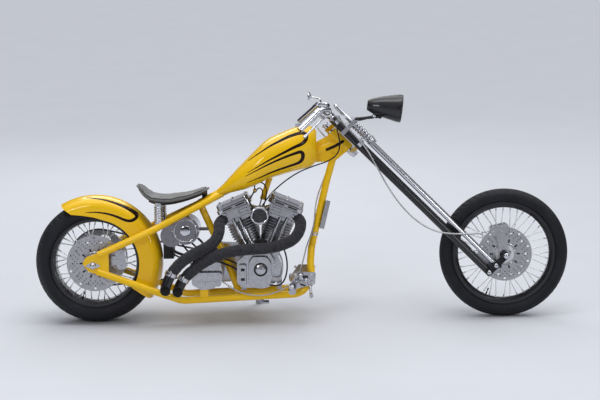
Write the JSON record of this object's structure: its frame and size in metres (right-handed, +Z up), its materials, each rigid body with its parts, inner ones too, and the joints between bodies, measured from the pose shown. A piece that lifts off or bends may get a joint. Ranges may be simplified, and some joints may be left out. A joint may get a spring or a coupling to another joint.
{
  "type": "chopper motorcycle",
  "caption": "Long raked chopper motorcycle with springer fork, wire wheels and V-twin, leaning on its side stand.",
  "frame": {"origin": "bottom centre of the bounding box, on the ground between the wheels", "axes": "+X forward, +Y to the machine's left, +Z up; the machine leans six degrees to +Y"},
  "size_m": [2.8864, 0.742, 1.2052],
  "materials": {
    "yellow_paint": "gloss yellow lacquer with black scallop stripes",
    "tyre": "matt black rubber",
    "black_rim": "gloss black",
    "chrome": "polished chrome",
    "spoke_steel": "satin steel",
    "black_paint": "gloss black paint",
    "engine_alloy": "polished cast alloy",
    "rubber": "matt black",
    "exhaust_wrap": "dark grey heat wrap",
    "seat_leather": "black leather with a soft sheen",
    "lens_glass": "clear glass"
  },
  "bodies": {
    "chassis": {"frame_spine": "yellow_paint", "frame_rail_right": "yellow_paint", "frame_rail_left": "yellow_paint", "upper_rail_right": "yellow_paint", "upper_rail_left": "yellow_paint", "rear_axle": "chrome", "rear_fender": "yellow_paint", "rear_caliper": "chrome", "crankcase": "engine_alloy", "cylinders": "engine_alloy", "cylinder_heads": "engine_alloy", "rocker_boxes": "chrome", "cam_cover": "chrome", "pushrod_tubes": "chrome", "air_cleaner": "black_paint", "intake": "engine_alloy", "gearbox": "engine_alloy", "primary_cover": "chrome", "drive_belt": "rubber", "exhaust_rear": "exhaust_wrap", "exhaust_front": "exhaust_wrap", "fuel_tank": "yellow_paint", "fuel_cap": "chrome", "seat_pad": "seat_leather", "seat_pan": "black_paint", "seat_springs": "chrome", "oil_tank": "black_paint", "electrics": "black_paint", "forward_controls": "chrome", "throttle_cable": "rubber", "clutch_cable": "rubber"},
    "front_fork": {"fork_yokes": "chrome", "fork_rear_legs": "black_paint", "fork_front_legs": "chrome", "fork_springs": "chrome", "fork_rockers": "black_paint", "front_axle": "chrome", "handlebar": "chrome", "grips": "chrome", "hand_controls": "chrome", "mirrors": "chrome", "headlamp_shell": "black_paint", "headlamp_lens": "lens_glass", "headlamp_bracket": "black_paint", "front_caliper": "chrome", "front_brake_hose": "rubber"},
    "front_wheel": {"front_tyre": "tyre", "front_rim": "black_rim", "front_hub_spokes": "spoke_steel", "front_disc": "spoke_steel"},
    "rear_wheel": {"rear_tyre": "tyre", "rear_rim": "black_rim", "rear_hub_spokes": "spoke_steel", "rear_disc": "spoke_steel", "rear_pulley": "spoke_steel"},
    "side_stand": {"side_stand": "chrome"}
  },
  "joints": [
    {"name": "steering", "type": "hinge", "parent": "chassis", "child": "front_fork", "pos_m": [0.21531, -0.00832, 0.96556], "axis": [-0.7071, 0.0739, 0.7032], "range_deg": [-30, 30], "deforming": ["throttle_cable", "clutch_cable"]},
    {"name": "front_wheel_spin", "type": "hinge", "parent": "front_fork", "child": "front_wheel", "pos_m": [1.0953, -0.0734, 0.34637], "axis": [0, 0.9945, -0.1045], "continuous": true},
    {"name": "rear_wheel_spin", "type": "hinge", "parent": "chassis", "child": "rear_wheel", "pos_m": [-1.1147, -0.07539, 0.3275], "axis": [0, 0.9945, -0.1045], "continuous": true},
    {"name": "side_stand_fold", "type": "hinge", "parent": "chassis", "child": "side_stand", "pos_m": [-0.34992, 0.06491, 0.10293], "axis": [0, 0.7771, 0.6293], "range_deg": [0, 112]}
  ]
}
